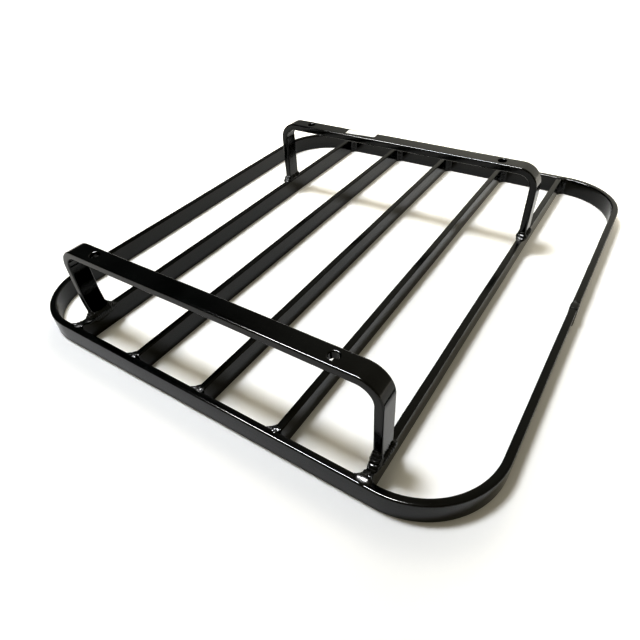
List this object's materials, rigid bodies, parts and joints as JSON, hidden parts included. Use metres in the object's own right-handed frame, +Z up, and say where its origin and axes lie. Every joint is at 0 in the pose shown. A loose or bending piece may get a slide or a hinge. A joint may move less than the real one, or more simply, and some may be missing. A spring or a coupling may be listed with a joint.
{
  "type": "vehicle lamp guard",
  "caption": "Slatted guard of flat steel bar: a rounded-corner hoop with welded slats and raised U-shaped mounting brackets, in black powder coat.",
  "frame": {"origin": "middle of the underside, on the surface that the guard lies on with its slats down and its brackets up", "axes": "+X across the slats and along the brackets, +Y along the slats from the end next to a bracket to the other end, +Z up, the way the brackets stand"},
  "size_m": [0.3616, 0.4, 0.0755],
  "materials": {
    "powder_coat": "gloss black powder coat on steel",
    "label_paper": "matt white self-adhesive label"
  },
  "bodies": {
    "root": {"bracket_edge": "powder_coat", "bracket_edge_weld_left_inner": "powder_coat", "bracket_edge_weld_left_outer": "powder_coat", "bracket_edge_weld_right_inner": "powder_coat", "bracket_edge_weld_right_outer": "powder_coat", "bracket_inboard": "powder_coat", "bracket_inboard_weld_left_inner": "powder_coat", "bracket_inboard_weld_left_outer": "powder_coat", "bracket_inboard_weld_right_inner": "powder_coat", "bracket_inboard_weld_right_outer": "powder_coat", "hoop": "powder_coat", "hoop_butt_weld": "powder_coat", "label": "label_paper", "slat_1": "powder_coat", "slat_1_weld_far": "powder_coat", "slat_1_weld_near": "powder_coat", "slat_2": "powder_coat", "slat_2_weld_far": "powder_coat", "slat_2_weld_near": "powder_coat", "slat_3": "powder_coat", "slat_3_weld_far": "powder_coat", "slat_3_weld_near": "powder_coat", "slat_4": "powder_coat", "slat_4_weld_far": "powder_coat", "slat_4_weld_near": "powder_coat", "slat_5": "powder_coat", "slat_5_top_bead": "powder_coat", "slat_5_weld_far": "powder_coat", "slat_5_weld_near": "powder_coat"}
  },
  "joints": []
}
